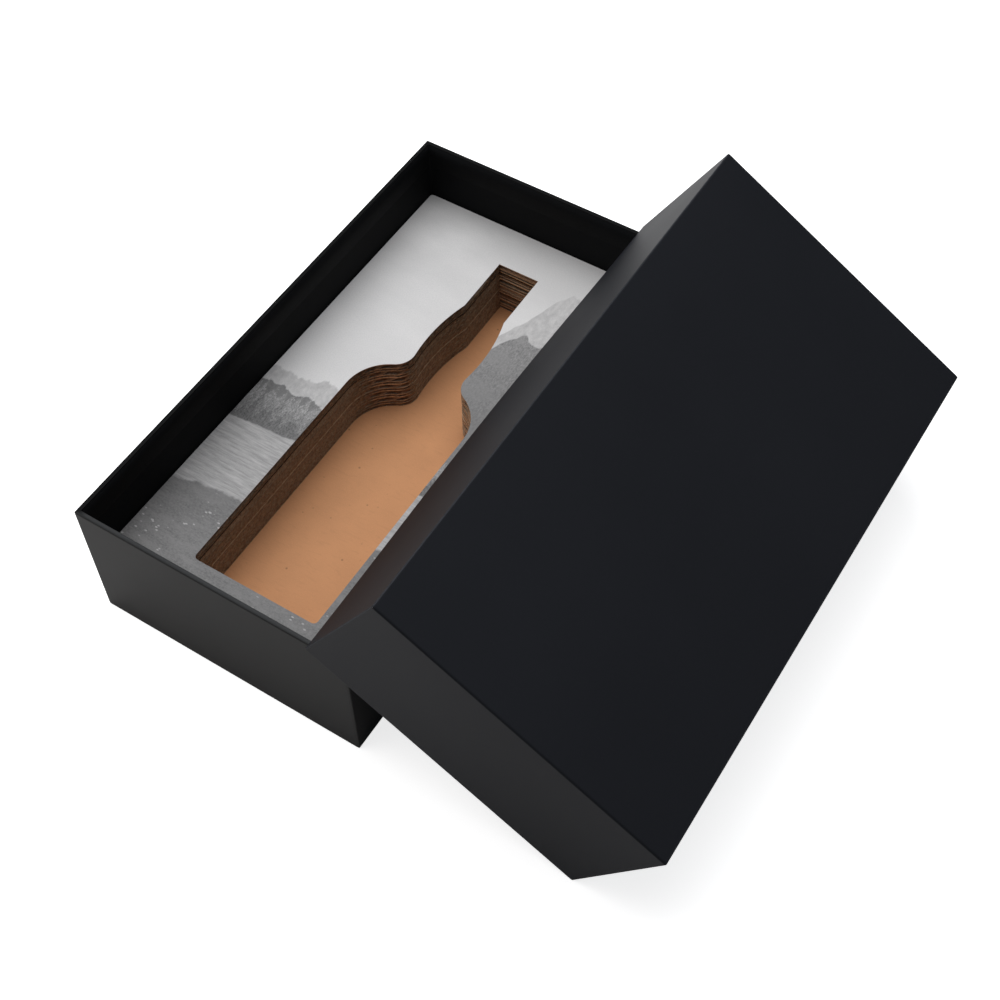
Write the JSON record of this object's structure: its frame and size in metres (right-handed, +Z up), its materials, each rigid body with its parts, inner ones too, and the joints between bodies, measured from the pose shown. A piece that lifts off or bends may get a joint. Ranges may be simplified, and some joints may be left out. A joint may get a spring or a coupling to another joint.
{
  "type": "rigid gift box",
  "caption": "Rigid lift-off lid gift box for a bottle, shown open, the lid leaning on the base, with a die-cut corrugated insert.",
  "frame": {"origin": "middle of the base's underside, on the table", "axes": "+Z up, +Y along the base's length towards the bottle's neck, +X across its width towards the leaning lid"},
  "size_m": [0.3882, 0.3726, 0.1879],
  "materials": {
    "greyboard": "raw solid board, 2.5 mm",
    "stay_paper": "gummed kraft paper strip",
    "base_wrap_paper": "matte charcoal paper, uncoated look",
    "lid_wrap_paper": "matte charcoal paper, fine grain",
    "lining_paper": "matte black lining paper",
    "kraft_floor": "smooth brown kraft liner",
    "corrugated_board": "brown double-wall corrugated board with cut edges",
    "printed_sheet": "matte litho print in greys"
  },
  "bodies": {
    "base": {"base_bottom_board": "greyboard", "base_left_board": "greyboard", "base_right_board": "greyboard", "base_front_board": "greyboard", "base_back_board": "greyboard", "base_corner_stays": "stay_paper", "base_wrap": "base_wrap_paper", "base_lining": "lining_paper"},
    "insert": {"insert_floor_board": "kraft_floor", "insert_spacer": "corrugated_board", "insert_layer_1": "corrugated_board", "insert_layer_2": "corrugated_board", "insert_layer_3": "corrugated_board", "insert_layer_4": "corrugated_board", "insert_layer_5": "corrugated_board", "insert_layer_6": "corrugated_board", "insert_print": "printed_sheet"},
    "lid": {"lid_top_board": "greyboard", "lid_left_board": "greyboard", "lid_right_board": "greyboard", "lid_front_board": "greyboard", "lid_back_board": "greyboard", "lid_corner_stays": "stay_paper", "lid_wrap": "lid_wrap_paper", "lid_lining": "lining_paper"}
  },
  "joints": [
    {"name": "lid_lift", "type": "slide", "parent": "base", "child": "lid", "axis": [0, 0, 1], "range_m": [0, 0.12]},
    {"name": "insert_lift", "type": "slide", "parent": "base", "child": "insert", "axis": [0, 0, 1], "range_m": [0, 0.045]}
  ]
}
